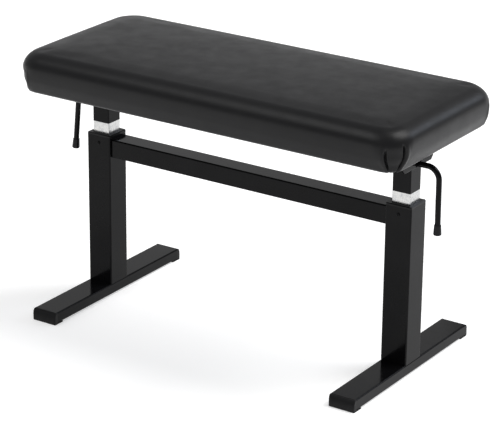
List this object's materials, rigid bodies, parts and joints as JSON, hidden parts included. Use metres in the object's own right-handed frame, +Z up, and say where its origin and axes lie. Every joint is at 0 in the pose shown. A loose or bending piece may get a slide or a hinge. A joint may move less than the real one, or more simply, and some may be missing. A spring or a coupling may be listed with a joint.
{
  "type": "piano bench",
  "caption": "Long padded piano bench on a welded H frame: two square telescopic gas-lift columns on flat feet, a crossbar, and a bent release lever under each end of the seat.",
  "frame": {"origin": "on the floor, midway between the two columns", "axes": "+X along the bench to the right-hand end, -Y is the front long side, +Z up"},
  "size_m": [0.7801, 0.388, 0.488],
  "materials": {
    "frame_black": "gloss",
    "bright_tube": "satin",
    "cap_plastic": "satin",
    "bush_plastic": "matte",
    "cylinder_black": "satin",
    "rod_chrome": "polished",
    "raw_steel": "satin",
    "zinc": "satin",
    "screw_black": "satin",
    "leather_black": "satin",
    "foam": "matte",
    "plywood": "matte",
    "underside_cloth": "matte",
    "lever_black": "gloss",
    "tip_plastic": "gloss"
  },
  "bodies": {
    "base": {"foot_cap_left_front": "cap_plastic", "foot_cap_left_rear": "cap_plastic", "foot_tube_left": "frame_black", "column_left": "frame_black", "base_plate_left": "raw_steel", "guide_bush_left": "bush_plastic", "gas_cylinder_left": "cylinder_black", "cylinder_gland_left": "bush_plastic", "foot_cap_right_front": "cap_plastic", "foot_cap_right_rear": "cap_plastic", "foot_tube_right": "frame_black", "column_right": "frame_black", "base_plate_right": "raw_steel", "guide_bush_right": "bush_plastic", "gas_cylinder_right": "cylinder_black", "cylinder_gland_right": "bush_plastic", "foot_bolts": "zinc", "foot_washers": "zinc", "bush_screws": "screw_black", "crossbar": "frame_black"},
    "seat": {"gas_rod_left": "rod_chrome", "gas_piston_left": "raw_steel", "lift_tube_left": "bright_tube", "lift_shoe_left": "bush_plastic", "head_tube_left": "frame_black", "release_block_left": "raw_steel", "seat_bracket_left": "frame_black", "pivot_pin_left": "raw_steel", "gas_rod_right": "rod_chrome", "gas_piston_right": "raw_steel", "lift_tube_right": "bright_tube", "lift_shoe_right": "bush_plastic", "head_tube_right": "frame_black", "release_block_right": "raw_steel", "seat_bracket_right": "frame_black", "pivot_pin_right": "raw_steel", "rod_nuts": "zinc", "bracket_screws": "zinc", "pivot_clips": "raw_steel", "seat_board": "plywood", "foam_pad": "foam", "leather_cover": "leather_black", "dust_cover": "underside_cloth"},
    "lever_left": {"lever_left": "lever_black", "lever_tip_left": "tip_plastic"},
    "lever_right": {"lever_right": "lever_black", "lever_tip_right": "tip_plastic"},
    "release_pin_left": {"release_pin_left": "rod_chrome"},
    "release_pin_right": {"release_pin_right": "rod_chrome"}
  },
  "joints": [
    {"name": "seat_height", "type": "slide", "parent": "base", "child": "seat", "axis": [0, 0, 1], "range_m": [-0.0195, 0.0805]},
    {"name": "lever_left_turn", "type": "hinge", "parent": "seat", "child": "lever_left", "pos_m": [-0.324, 0, 0.38], "axis": [0, 1, 0], "range_deg": [0, 15], "stiffness_Nm_per_rad": 1.5, "springref_deg": -2.86},
    {"name": "lever_right_turn", "type": "hinge", "parent": "seat", "child": "lever_right", "pos_m": [0.324, 0, 0.38], "axis": [0, -1, 0], "range_deg": [0, 15], "stiffness_Nm_per_rad": 1.5, "springref_deg": -2.86},
    {"name": "release_pin_left_travel", "type": "slide", "parent": "seat", "child": "release_pin_left", "axis": [0, 0, -1], "range_m": [0, 0.0038]},
    {"name": "release_pin_right_travel", "type": "slide", "parent": "seat", "child": "release_pin_right", "axis": [0, 0, -1], "range_m": [0, 0.0038]}
  ],
  "couplings": [
    {"joint": "release_pin_left_travel", "follows": "lever_left_turn", "m_per_rad": 0.0142},
    {"joint": "release_pin_right_travel", "follows": "lever_right_turn", "m_per_rad": 0.0142}
  ]
}
